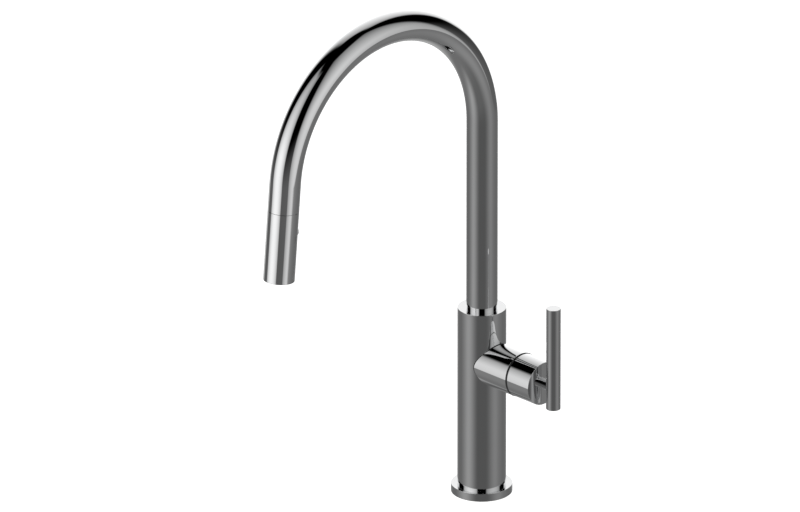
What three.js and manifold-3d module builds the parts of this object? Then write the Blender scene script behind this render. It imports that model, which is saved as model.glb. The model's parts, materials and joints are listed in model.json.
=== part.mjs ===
// Pull-down kitchen faucet with one side lever, in millimetres.
// +Z is up, the spout reaches towards -Y and the lever valve sticks out along +X.
// The origin is the centre of the base flange's underside, on the worktop.
import * as THREE from 'three';
import { mergeVertices } from 'three/addons/utils/BufferGeometryUtils.js';
import Module from 'manifold-3d';

// ---- driving dimensions -------------------------------------------------
const GAP = 0.3; // clearance between pieces that touch
const FINE = 36; // facets round the large visible pieces
const MEDIUM = 20;
const COARSE = 14;

const FLANGE_R = 27.5;
const FLANGE_TOP = 7.45;
const NECK_R = 21.0; // recessed ring between flange and body
const BODY_R = 21.8;
const BODY_WALL = 2.5;
const BODY_BOTTOM = 9.65;
const BODY_TOP = 177.2;
const TOP_WALL = 4.0;

const COLLAR_R = 13.5; // recessed ring between body and spout
const TUBE_R = 14.0;
const TUBE_WALL = 1.5;
const TUBE_BOTTOM = 180.6;
const ARC_START = 356.3; // height where the straight riser ends
const ARC_R = 121.4;
const ARC_SWEEP = THREE.MathUtils.degToRad(175);
const TAIL = 25.4; // straight end of the spout tube, up to the wand seam
const WAND_LENGTH = 64.8;
const BUTTON_DROP = 22.0; // button centre below the seam

const VALVE_Z = 127.0;
const HOUSING_R = 20.15;
const HOUSING_END = 50.2;
const HUB_R = 19.9;
const HUB_START = 52.24;
const HUB_END = 78.5;
const PIVOT_X = 37.8; // centre of the lever's tilt, on the valve axis
const DOME_R = 23.9; // sphere that the hub slides over, about the pivot
const HUB_CUP_R = 24.6;
const STEM_R = 4.0;
const CARTRIDGE_R = 14.0;
const ARM_R = 4.6;
const LEVER_X = 90.5;
const LEVER_R = 6.5;
const LEVER_DOWN = 20.3; // below the valve axis
const LEVER_UP = 76.1; // above the valve axis

const SHANK_R = 16.0;
const SHANK_BORE = 14.3;
const SHANK_BOTTOM = -62.0;
const DECK = 30.0; // worktop thickness that the fixings are drawn closed on
const HOSE_R = 5.5;
const HOSE_OFFSET = -7.0; // the hose runs behind the valve block
const SUPPLY_R = 3.8;
const SUPPLY_X = 4.5;
const SUPPLY_Y = 9.0;
const OUTLET_R = 3.0;
const OUTLET_X = 4.0;

// ---- colours ------------------------------------------------------------
const CHROME = [0xdfe1e4, 1.0, 0.06];
const STEEL = [0xb9bcc0, 1.0, 0.3];
const BRASS = [0xb08d4a, 1.0, 0.35];
const CERAMIC = [0xe8e2d6, 0.0, 0.3];
const DARK_PLASTIC = [0x2a2b2e, 0.0, 0.45];
const WHITE_PLASTIC = [0xdedfe0, 0.0, 0.4];
const GREY_PLASTIC = [0x77797d, 0.0, 0.45];
const RUBBER = [0x1d1d1f, 0.0, 0.8];
const BRAID = [0x9a9da2, 0.6, 0.5];

const wasm = await Module();
wasm.setup();

// ---- helpers ------------------------------------------------------------

// Turns a closed three.js geometry into a solid whose faces point out.
function solid(geometry) {
  const bare = geometry.clone();
  bare.deleteAttribute('normal');
  bare.deleteAttribute('uv');
  const merged = mergeVertices(bare, 1e-4);
  const position = merged.attributes.position.array;
  const index = merged.index.array;
  const kept = [];
  for (let i = 0; i < index.length; i += 3) {
    const [a, b, c] = [index[i], index[i + 1], index[i + 2]];
    if (a !== b && b !== c && c !== a) kept.push(a, b, c);
  }
  let volume = 0;
  const corner = (k) => new THREE.Vector3().fromArray(position, 3 * k);
  for (let i = 0; i < kept.length; i += 3) {
    const cross = corner(kept[i + 1]).cross(corner(kept[i + 2]));
    volume += corner(kept[i]).dot(cross);
  }
  if (volume < 0) kept.reverse();
  return new wasm.Manifold(
    new wasm.Mesh({
      numProp: 3,
      vertProperties: new Float32Array(position),
      triVerts: new Uint32Array(kept),
    }),
  );
}

// Turns a solid back into a flat-shaded three.js geometry.
function geometryOf(body) {
  const mesh = body.getMesh();
  const geometry = new THREE.BufferGeometry();
  geometry.setAttribute('position', new THREE.BufferAttribute(mesh.vertProperties, 3));
  geometry.setIndex(new THREE.BufferAttribute(mesh.triVerts, 1));
  const flat = geometry.toNonIndexed();
  flat.computeVertexNormals();
  return flat;
}

// A turned piece about +Z. The profile is a list of [radius, height].
function turned(profile, segments = MEDIUM) {
  const points = profile.map(([r, z]) => new THREE.Vector2(r, z));
  points.push(points[0].clone());
  const geometry = new THREE.LatheGeometry(points, segments);
  geometry.rotateX(Math.PI / 2);
  return geometry;
}

function ring(outer, inner, low, high, segments) {
  return turned([[inner, low], [outer, low], [outer, high], [inner, high]], segments);
}

function rod(radius, low, high, segments) {
  return turned([[0, low], [radius, low], [radius, high], [0, high]], segments);
}

// A rod along X or Y whose middle line passes through (x, y, z).
function crossRod(axis, radius, from, to, at, segments = 16) {
  const geometry = rod(radius, from, to, segments);
  if (axis === 'x') geometry.rotateY(Math.PI / 2);
  if (axis === 'y') geometry.rotateX(-Math.PI / 2);
  geometry.translate(...at);
  return geometry;
}

function cut(body, ...tools) {
  let left = solid(body);
  for (const tool of tools) left = left.subtract(solid(tool));
  return geometryOf(left);
}

function block(sizeX, sizeY, sizeZ, at) {
  return new THREE.BoxGeometry(sizeX, sizeY, sizeZ).translate(...at);
}

// A curve that is sampled only at the given stations, so bends get the steps.
class StationCurve extends THREE.Curve {
  constructor(stations) {
    super();
    this.stations = stations;
  }

  at(t) {
    return this.stations[Math.round(t * (this.stations.length - 1))];
  }

  getPoint(t, target = new THREE.Vector3()) {
    return target.copy(this.at(t).point);
  }

  getPointAt(t, target) {
    return this.getPoint(t, target);
  }

  getTangent(t, target = new THREE.Vector3()) {
    return target.copy(this.at(t).tangent);
  }

  getTangentAt(t, target) {
    return this.getTangent(t, target);
  }

  getSpacedPoints(count) {
    return this.getPoints(count);
  }
}

function circlePath(Kind, radius, sides) {
  const points = [];
  for (let i = 0; i < sides; i += 1) {
    const angle = (2 * Math.PI * i) / sides;
    points.push(new THREE.Vector2(radius * Math.cos(angle), radius * Math.sin(angle)));
  }
  return new Kind(points);
}

// A hollow tube, or a solid bar when inner is 0, along the stations.
function sweep(stations, outer, inner, sides) {
  const shape = circlePath(THREE.Shape, outer, sides);
  if (inner > 0) shape.holes.push(circlePath(THREE.Path, inner, sides));
  return new THREE.ExtrudeGeometry(shape, {
    steps: stations.length - 1,
    bevelEnabled: false,
    extrudePath: new StationCurve(stations),
  });
}

const station = (x, y, z, tangent) => ({
  point: new THREE.Vector3(x, y, z),
  tangent: new THREE.Vector3(...tangent).normalize(),
});

// Stations round the spout's bend, from angle 0 to the given one.
function bend(toAngle, steps) {
  const list = [];
  for (let i = 0; i <= steps; i += 1) {
    const a = (toAngle * i) / steps;
    const y = -ARC_R * (1 - Math.cos(a));
    const z = ARC_START + ARC_R * Math.sin(a);
    list.push(station(0, y, z, [0, -Math.sin(a), Math.cos(a)]));
  }
  return list;
}

const faucet = new THREE.Group();

function add(parent, name, geometry, [color, metalness, roughness]) {
  const material = new THREE.MeshStandardMaterial({ color, metalness, roughness });
  const mesh = new THREE.Mesh(geometryOf(solid(geometry)), material);
  mesh.name = name;
  parent.add(mesh);
  return mesh;
}

// ---- base and column ----------------------------------------------------
const column = new THREE.Group();
faucet.add(column);

const gasketOuter = 25.0;
const gasketInner = 21.5;
const gasketDepth = 2.0;
add(column, 'base_flange', turned([
  [SHANK_R + GAP, 0],
  [gasketInner - GAP, 0],
  [gasketInner - GAP, gasketDepth + GAP],
  [gasketOuter + GAP, gasketDepth + GAP],
  [gasketOuter + GAP, 0],
  [FLANGE_R, 0],
  [FLANGE_R, FLANGE_TOP - 0.25],
  [FLANGE_R - 0.25, FLANGE_TOP],
  [SHANK_R + GAP, FLANGE_TOP],
], FINE), CHROME);
add(column, 'base_gasket', ring(gasketOuter, gasketInner, 0, gasketDepth, MEDIUM), RUBBER);
add(column, 'lower_trim_ring',
  ring(NECK_R, SHANK_R + GAP, FLANGE_TOP + 0.15, BODY_BOTTOM - 0.15, FINE), CHROME);

const bodyBore = BODY_R - BODY_WALL;
const spigotR = 12.0;
const spigotHole = spigotR + GAP + 0.1;
add(column, 'body_shell', cut(
  turned([
    [bodyBore, BODY_BOTTOM],
    [BODY_R, BODY_BOTTOM],
    [BODY_R, BODY_TOP],
    [spigotHole, BODY_TOP],
    [spigotHole, BODY_TOP - TOP_WALL],
    [bodyBore, BODY_TOP - TOP_WALL],
  ], FINE),
  crossRod('x', CARTRIDGE_R + 0.4, 5, 30, [0, 0, VALVE_Z], MEDIUM),
), CHROME);

const insideR = bodyBore - GAP;
add(column, 'base_insert', ring(insideR, SHANK_R + GAP, 12, 26, MEDIUM), BRASS);
add(column, 'mounting_shank', ring(SHANK_R, SHANK_BORE, SHANK_BOTTOM, 24, MEDIUM), BRASS);

// Valve block: hose slot at the back, flat seat for the cartridge at the front.
const blockLow = VALVE_Z - 18;
const blockHigh = VALVE_Z + 16;
const seatX = 12.6;
const blockHoles = [
  [SUPPLY_X, SUPPLY_Y, SUPPLY_R],
  [SUPPLY_X, -SUPPLY_Y, SUPPLY_R],
  [OUTLET_X, 0, OUTLET_R],
].map(([x, y, r]) => rod(r - 1, blockLow - 1, VALVE_Z, 12).translate(x, y, 0));
add(column, 'valve_block', cut(
  rod(insideR, blockLow, blockHigh, MEDIUM),
  block(24, 12.8, 60, [3.0 - 12, 0, VALVE_Z]),
  block(20, 60, 60, [seatX + 10, 0, VALVE_Z]),
  ...blockHoles,
  crossRod('x', 2.2, SUPPLY_X, 20, [0, SUPPLY_Y - 1.5, VALVE_Z - 3], 12),
  crossRod('x', 2.2, SUPPLY_X, 20, [0, 1.5 - SUPPLY_Y, VALVE_Z - 3], 12),
), BRASS);

// Supply and outlet tails that hang down through the shank.
const tailTop = blockLow - GAP;
const tailBottom = -88;
for (const [name, side] of [['hot', 1], ['cold', -1]]) {
  add(column, `${name}_supply_tail`,
    ring(SUPPLY_R, SUPPLY_R - 1, tailBottom, tailTop, 16), STEEL)
    .position.set(SUPPLY_X, side * SUPPLY_Y, 0);
  add(column, `${name}_supply_nut`, cut(
    new THREE.CylinderGeometry(7.5, 7.5, 12, 6).rotateX(Math.PI / 2).translate(0, 0, -78),
    rod(SUPPLY_R + GAP, -90, -66, 16),
  ), BRASS).position.set(SUPPLY_X, side * SUPPLY_Y, 0);
}
add(column, 'outlet_tail', ring(OUTLET_R, OUTLET_R - 0.9, tailBottom + 16, tailTop, 16), STEEL)
  .position.set(OUTLET_X, 0, 0);

// ---- fixings under the worktop --------------------------------------------
add(column, 'rubber_washer', ring(26, SHANK_R + GAP, -DECK - 3, -DECK, MEDIUM), RUBBER);
add(column, 'steel_washer',
  ring(25, SHANK_R + GAP, -DECK - 3 - GAP - 2, -DECK - 3 - GAP, MEDIUM), STEEL);
const nutTop = -DECK - 8;
const nutLow = nutTop - 9;
const screwAt = 20.2;
const screwHole = (side) => rod(2.5 + GAP, nutLow - 1, nutTop + 1, 12)
  .translate(side * screwAt, 0, 0);
add(column, 'mounting_nut', cut(
  new THREE.CylinderGeometry(25, 25, nutTop - nutLow, 6)
    .rotateX(Math.PI / 2)
    .translate(0, 0, (nutTop + nutLow) / 2),
  rod(SHANK_R + GAP, nutLow - 1, nutTop + 1, MEDIUM),
  screwHole(1),
  screwHole(-1),
), BRASS);
for (const [name, side] of [['nut_screw_right', 1], ['nut_screw_left', -1]]) {
  const screw = turned([
    [0, nutLow - 10],
    [4, nutLow - 10],
    [4, nutLow - 5],
    [2.5, nutLow - 5],
    [2.5, nutTop + 2.4],
    [0, nutTop + 2.4],
  ], 12);
  add(column, name, cut(screw, block(1.2, 9, 3, [0, 0, nutLow - 10])), STEEL)
    .position.set(side * screwAt, 0, 0);
}

// ---- side valve: everything here is built along its local +Z = world +X -----
const valve = new THREE.Group();
valve.position.z = VALVE_Z;
valve.rotation.y = Math.PI / 2;
faucet.add(valve);

const housingBore = CARTRIDGE_R + 0.4;
add(valve, 'valve_housing', cut(
  turned([
    [housingBore, 2],
    [HOUSING_R, 2],
    [HOUSING_R, HOUSING_END],
    [18.1, HOUSING_END],
    [18.1, 46.6],
    [16.6, 46.6],
    [16.6, 40.3],
    [housingBore, 40.3],
  ], FINE),
  crossRod('x', BODY_R + 0.25, -40, 40, [0, 0, 0], 2 * FINE),
), CHROME);

const portHole = (x, y) => rod(2.2, seatX - 2, 25, 12).translate(x, y, 0);
add(valve, 'cartridge_body', cut(
  turned([
    [0, seatX + GAP],
    [CARTRIDGE_R, seatX + GAP],
    [CARTRIDGE_R, 40],
    [9.8, 40],
    [9.8, 24],
    [0, 24],
  ], MEDIUM),
  portHole(3, SUPPLY_Y - 1.5),
  portHole(3, 1.5 - SUPPLY_Y),
  portHole(-6, 0),
), WHITE_PLASTIC);
add(valve, 'cartridge_nut', ring(16.3, 10.2, 40.4, 46.3, MEDIUM), BRASS);

// Points on a circle about the tilt pivot, as [radius, distance along the axis].
function about(radius, fromDeg, toDeg, steps) {
  const points = [];
  for (let i = 0; i <= steps; i += 1) {
    const a = THREE.MathUtils.degToRad(fromDeg + ((toDeg - fromDeg) * i) / steps);
    points.push([radius * Math.sin(a), PIVOT_X + radius * Math.cos(a)]);
  }
  return points;
}

const domeRim = HOUSING_END + 0.25;
const domeEdge = THREE.MathUtils.radToDeg(Math.acos((domeRim - PIVOT_X) / DOME_R));
add(valve, 'bonnet_dome', turned([
  [16.2, 46.8],
  [17.8, 46.8],
  [17.8, domeRim],
  ...about(DOME_R, domeEdge, 32, 3),
  ...about(DOME_R - 1.6, 32, 46.6, 1),
], FINE), DARK_PLASTIC);

// Rotating core of the cartridge.
const pinHole = crossRod('y', 1.8, -15, 15, [0, 0, PIVOT_X], 12);
add(valve, 'ceramic_disc', rod(9.5, 24.3, 27.6, COARSE), CERAMIC);
add(valve, 'stem_carrier', cut(ring(9.5, 6.2, 27.9, 41, COARSE), pinHole), GREY_PLASTIC);
add(valve, 'pivot_pin', crossRod('y', 1.5, -9.2, 9.2, [0, 0, PIVOT_X], 12), STEEL);

// Lever: stem, hub, arm and upright rod.
const socketEnd = 70.5;
add(valve, 'lever_stem', cut(turned([
  [0, 29],
  [2.6, 29],
  [2.6, 32.5],
  [STEM_R, 34],
  [STEM_R, socketEnd - GAP],
  [0, socketEnd - GAP],
], COARSE), pinHole), STEEL);
const cupEdge = THREE.MathUtils.radToDeg(Math.asin(HUB_R / HUB_CUP_R));
const cupStart = THREE.MathUtils.radToDeg(Math.asin((STEM_R + 0.25) / HUB_CUP_R));
const armSocket = 72.8;
add(valve, 'lever_hub', cut(
  turned([
    ...about(HUB_CUP_R, cupStart, cupEdge, 5),
    [HUB_R, HUB_END - 0.25],
    [HUB_R - 0.25, HUB_END],
    [ARM_R + 0.25, HUB_END],
    [ARM_R + 0.25, armSocket],
    [0, armSocket],
    [0, socketEnd],
    [STEM_R + 0.25, socketEnd],
  ], FINE),
  crossRod('x', 2.2, 3, 25, [0, 0, 66], 12),
), CHROME);
add(valve, 'hub_set_screw', cut(
  crossRod('x', 1.9, STEM_R + 0.3, 12, [0, 0, 66], 12),
  crossRod('x', 0.9, 10, 13, [0, 0, 66], 6),
), STEEL);
add(valve, 'lever_arm', rod(ARM_R, armSocket + GAP, LEVER_X - 0.8, COARSE), CHROME);

const lever = turned([
  [0, -LEVER_DOWN],
  [LEVER_R - 0.25, -LEVER_DOWN],
  [LEVER_R, -LEVER_DOWN + 0.25],
  [LEVER_R, LEVER_UP - 0.25],
  [LEVER_R - 0.25, LEVER_UP],
  [0, LEVER_UP],
], MEDIUM);
add(faucet, 'lever_rod', cut(lever, crossRod('x', ARM_R + 0.25, -20, -0.5, [0, 0, 0], COARSE)), CHROME)
  .position.set(LEVER_X, 0, VALVE_Z);

// ---- swivelling spout -------------------------------------------------------
const spout = new THREE.Group();
faucet.add(spout);

const wallUnder = BODY_TOP - TOP_WALL;
add(spout, 'glide_washer', ring(17, spigotHole, wallUnder - 1.3, wallUnder - GAP, MEDIUM), WHITE_PLASTIC);
const bushTop = wallUnder - 1.6;
add(column, 'swivel_bushing', ring(insideR, spigotHole, bushTop - 13, bushTop, MEDIUM), GREY_PLASTIC);
const clipTop = bushTop - 13 - GAP;
const clipLow = clipTop - 1.6;
add(spout, 'retaining_clip', cut(
  ring(15.5, spigotR - 0.6, clipLow, clipTop, MEDIUM),
  block(8, 10, 6, [0, -14, clipLow]),
), STEEL);
const tubeBore = TUBE_R - TUBE_WALL;
add(spout, 'swivel_spigot', turned([
  [8, clipLow - 4],
  [spigotR, clipLow - 4],
  [spigotR, clipLow - GAP],
  [spigotR - 0.9, clipLow - GAP],
  [spigotR - 0.9, clipTop + GAP],
  [spigotR, clipTop + GAP],
  [spigotR, 198],
  [8, 198],
], MEDIUM), BRASS);
add(spout, 'spout_collar',
  ring(COLLAR_R, spigotR + GAP, BODY_TOP + 0.15, TUBE_BOTTOM - 0.15, MEDIUM), CHROME);

const tailAxis = [0, -Math.sin(ARC_SWEEP), Math.cos(ARC_SWEEP)];
const arcEnd = bend(ARC_SWEEP, 1)[1].point;
const along = (s) => arcEnd.clone().add(new THREE.Vector3(...tailAxis).multiplyScalar(s));
add(spout, 'spout_tube', sweep([
  station(0, 0, TUBE_BOTTOM, [0, 0, 1]),
  ...bend(ARC_SWEEP, 18),
  station(...along(TAIL - 0.15), tailAxis),
], TUBE_R, tubeBore, MEDIUM), CHROME);

// Hose, lower length: up behind the valve block, then over to the middle.
const hoseSplit = 181;
const hoseShiftLow = 108;
const hoseShiftHigh = 176;
const hoseFoot = SHANK_BOTTOM - 8;
const hoseStations = [station(HOSE_OFFSET, 0, hoseFoot, [0, 0, 1])];
for (let i = 0; i <= 6; i += 1) {
  const t = i / 6;
  const ease = t * t * (3 - 2 * t);
  const height = hoseShiftLow + (hoseShiftHigh - hoseShiftLow) * t;
  const slope = (-HOSE_OFFSET * 6 * t * (1 - t)) / (hoseShiftHigh - hoseShiftLow);
  hoseStations.push(station(HOSE_OFFSET * (1 - ease), 0, height, [slope, 0, 1]));
}
hoseStations.push(station(0, 0, hoseSplit - GAP, [0, 0, 1]));
const hoseBore = 3.6;
add(column, 'pull_hose_lower', sweep(hoseStations, HOSE_R, hoseBore, 10), BRAID);
add(column, 'hose_coupler', cut(
  new THREE.CylinderGeometry(6.6, 6.6, 10, 6).rotateX(Math.PI / 2).translate(0, 0, hoseFoot - 5.3),
  rod(hoseBore, hoseFoot - 20, hoseFoot, COARSE),
), BRASS).position.set(HOSE_OFFSET, 0, 0);

// Hose, upper length: turns with the spout and follows its bend to the ferrule.
const hoseEndAngle = ARC_SWEEP - 16.6 / ARC_R;
add(spout, 'pull_hose_upper', sweep([
  station(0, 0, hoseSplit, [0, 0, 1]),
  ...bend(hoseEndAngle, 12),
], HOSE_R, hoseBore, 10), BRAID);

// ---- wand: local +Z runs down the wand, local -Y faces the column -----------
const wand = new THREE.Group();
wand.position.copy(arcEnd);
wand.rotation.x = ARC_SWEEP;
faucet.add(wand);

add(wand, 'dock_magnet', ring(tubeBore - 0.4, 9.9, 1, 5.4, MEDIUM), STEEL);
add(wand, 'dock_guide', ring(tubeBore - 0.4, 9.9, 5.7, TAIL - 0.6, MEDIUM), DARK_PLASTIC);

// Hose end: crimped ferrule and a nipple that turns inside the connector.
add(wand, 'hose_ferrule', ring(7.6, 5.25, -15, 3, COARSE), STEEL);
add(wand, 'hose_nipple', turned([
  [3, -14.8],
  [4.9, -14.8],
  [4.9, 21.8],
  [6.6, 21.8],
  [6.6, 25],
  [3, 25],
], COARSE), BRASS);

const shellTop = TAIL + 0.15;
const wandEnd = TAIL + WAND_LENGTH;
const shellBore = 12.6;
const buttonAt = TAIL + BUTTON_DROP;
add(wand, 'dock_keeper', ring(9.4, 5.3, 6, 8.7, MEDIUM), STEEL);
add(wand, 'hose_connector', turned([
  [5.3, 9],
  [9.4, 9],
  [9.4, shellTop + 2.5],
  [12.2, shellTop + 2.5],
  [12.2, shellTop + 5.3],
  [7.1, shellTop + 5.3],
  [7.1, 21.4],
  [5.3, 21.4],
], MEDIUM), BRASS);
add(wand, 'wand_shell', cut(
  turned([
    [9.75, shellTop],
    [TUBE_R, shellTop],
    [TUBE_R, wandEnd],
    [shellBore, wandEnd],
    [shellBore, shellTop + 2.2],
    [9.75, shellTop + 2.2],
  ], 28),
  crossRod('y', 5.3, -20, -10, [0, 0, buttonAt], COARSE),
), CHROME);
add(wand, 'core_gasket', ring(12.0, 5.5, shellTop + 5.6, shellTop + 7, COARSE), RUBBER);
const coreTop = shellTop + 7.3;
const coreEnd = wandEnd - 9.2;
add(wand, 'wand_core', cut(
  turned([
    [4.8, coreTop],
    [12.2, coreTop],
    [12.2, coreEnd],
    [3.2, coreEnd],
    [3.2, coreTop + 8],
    [4.8, coreTop + 8],
  ], MEDIUM),
  crossRod('y', 5.4, -20, -5, [0, 0, buttonAt], COARSE),
), WHITE_PLASTIC);
add(wand, 'check_valve', ring(4.5, 2.4, coreTop + 0.5, coreTop + 7.6, COARSE), DARK_PLASTIC);

// Spray button with its return spring, on the side that faces the column.
const button = new THREE.Group();
button.position.z = buttonAt;
button.rotation.x = Math.PI / 2;
wand.add(button);
add(button, 'mode_button', turned([
  [0, 10.5],
  [4.9, 10.5],
  [4.9, 15.7],
  [4.65, 16.25],
  [4.1, 16.6],
  [2.2, 16.95],
  [0, 17.05],
], COARSE), CHROME);
const coils = 3;
const coilR = 3.0;
const springStations = [];
for (let i = 0; i <= coils * 8; i += 1) {
  const a = (2 * Math.PI * i) / 8;
  const height = 7.7 + (2.0 * i) / (coils * 8);
  springStations.push(station(coilR * Math.cos(a), coilR * Math.sin(a), height,
    [-Math.sin(a), Math.cos(a), 2.0 / (coils * 2 * Math.PI * coilR)]));
}
add(button, 'button_spring', sweep(springStations, 0.28, 0, 5), STEEL);

// Outlet: rubber nozzles through the face plate, aerator in the middle.
const nozzles = 12;
const nozzleCircle = 9.8;
const onCircle = (i) => {
  const a = (2 * Math.PI * (i + 0.5)) / nozzles;
  return [nozzleCircle * Math.cos(a), nozzleCircle * Math.sin(a), 0];
};
const plateLow = coreEnd + GAP;
let nozzlePlate = solid(ring(12.2, 7.1, plateLow, plateLow + 2, MEDIUM));
const faceHoles = [];
for (let i = 0; i < nozzles; i += 1) {
  const tip = rod(0.85, plateLow + 1, wandEnd - 0.6, 6).translate(...onCircle(i));
  nozzlePlate = nozzlePlate.add(solid(tip));
  faceHoles.push(rod(1.3, plateLow, wandEnd + 1, 6).translate(...onCircle(i)));
}
add(wand, 'spray_nozzles', geometryOf(nozzlePlate), RUBBER);
add(wand, 'spray_face', cut(ring(12.3, 7.1, plateLow + 2.3, wandEnd - 0.9, MEDIUM), ...faceHoles),
  GREY_PLASTIC);
add(wand, 'aerator_ring', ring(6.8, 5.4, plateLow, wandEnd - 1.2, MEDIUM), DARK_PLASTIC);
const meshHoles = [];
for (const [radius, count] of [[0, 1], [2.9, 6]]) {
  for (let i = 0; i < count; i += 1) {
    const a = (2 * Math.PI * i) / count;
    meshHoles.push(rod(1.0, 80, 100, 6).translate(radius * Math.cos(a), radius * Math.sin(a), 0));
  }
}
add(wand, 'aerator_screen', cut(rod(5.0, wandEnd - 3.2, wandEnd - 2.4, COARSE), ...meshHoles), STEEL);

export default faucet;
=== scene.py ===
"""Pull-down kitchen faucet: chrome surfaces, small parts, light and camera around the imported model."""
import json
import math

import bpy
import bmesh
import numpy as np
from mathutils import Matrix, Vector


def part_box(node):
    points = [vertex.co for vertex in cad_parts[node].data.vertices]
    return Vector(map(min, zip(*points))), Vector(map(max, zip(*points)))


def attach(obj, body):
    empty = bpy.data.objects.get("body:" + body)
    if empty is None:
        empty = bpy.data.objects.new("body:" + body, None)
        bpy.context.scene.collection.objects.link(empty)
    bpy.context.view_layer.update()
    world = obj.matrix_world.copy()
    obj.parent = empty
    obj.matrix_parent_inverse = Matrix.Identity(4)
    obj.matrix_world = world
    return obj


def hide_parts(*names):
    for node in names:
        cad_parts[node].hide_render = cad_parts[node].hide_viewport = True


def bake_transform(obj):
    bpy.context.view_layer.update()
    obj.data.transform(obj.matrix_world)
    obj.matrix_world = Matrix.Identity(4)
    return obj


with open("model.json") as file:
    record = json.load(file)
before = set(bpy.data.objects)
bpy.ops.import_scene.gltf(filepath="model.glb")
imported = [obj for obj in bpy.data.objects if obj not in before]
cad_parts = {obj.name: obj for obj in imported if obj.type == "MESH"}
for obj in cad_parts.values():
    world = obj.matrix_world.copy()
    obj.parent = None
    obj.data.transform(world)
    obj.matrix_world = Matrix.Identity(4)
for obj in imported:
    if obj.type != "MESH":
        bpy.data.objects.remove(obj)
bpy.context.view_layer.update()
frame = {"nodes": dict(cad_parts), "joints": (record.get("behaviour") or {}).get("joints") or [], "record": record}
MM = 0.001

# ---- sizes, in metres, read from the frame or shared with the CAD source ----------
JOINTS = {joint["name"]: joint for joint in frame["joints"]}
WAND_AXIS = Vector(JOINTS["wand_pull"]["axis"])  # from the spout's mouth down the wand
SEAM = Vector(JOINTS["wand_spin"]["pos_m"])  # middle of the seam between spout and wand
PIVOT = Vector(JOINTS["flow_tilt"]["pos_m"])  # centre of the lever's tilt
VALVE_Z = PIVOT.z

FLANGE_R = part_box("base_flange")[1].x
FLANGE_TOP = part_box("base_flange")[1].z
NECK_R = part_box("lower_trim_ring")[1].x
BODY_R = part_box("body_shell")[1].x
BODY_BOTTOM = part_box("body_shell")[0].z
BODY_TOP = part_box("body_shell")[1].z
BODY_WALL = 2.5 * MM
TOP_WALL = 4.0 * MM
SPIGOT_HOLE = 12.4 * MM
COLLAR_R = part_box("spout_collar")[1].x
TUBE_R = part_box("spout_tube")[1].x
TUBE_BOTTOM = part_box("spout_tube")[0].z
TUBE_BORE = TUBE_R - 1.5 * MM
ARC_START = 356.3 * MM
ARC_R = 121.4 * MM
ARC_SWEEP = math.atan2(-WAND_AXIS.y, WAND_AXIS.z)
WAND_LENGTH = 64.8 * MM
BUTTON_DROP = 22.0 * MM
HOUSING_R = 20.15 * MM
HOUSING_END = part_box("valve_housing")[1].x
HUB_R = 19.9 * MM
HUB_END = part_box("lever_hub")[1].x
HUB_CUP_R = 24.6 * MM
DOME_R = 23.9 * MM
ARM_R = 4.6 * MM
LEVER_X = sum(c.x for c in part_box("lever_rod")) / 2
LEVER_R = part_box("lever_rod")[1].y
LEVER_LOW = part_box("lever_rod")[0].z
LEVER_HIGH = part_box("lever_rod")[1].z
EDGE = 0.22 * MM  # softened edge of a polished piece

# Frames that a turned piece is built in: local +Z is the piece's own axis.
UPRIGHT = Matrix.Identity(4)
VALVE = Matrix.Translation((0, 0, VALVE_Z)) @ Matrix.Rotation(math.radians(90), 4, "Y")
WAND = Matrix.Translation(SEAM) @ Matrix.Rotation(ARC_SWEEP, 4, "X")
BUTTON = WAND @ Matrix.Translation((0, 0, BUTTON_DROP)) @ Matrix.Rotation(math.radians(90), 4, "X")


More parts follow.
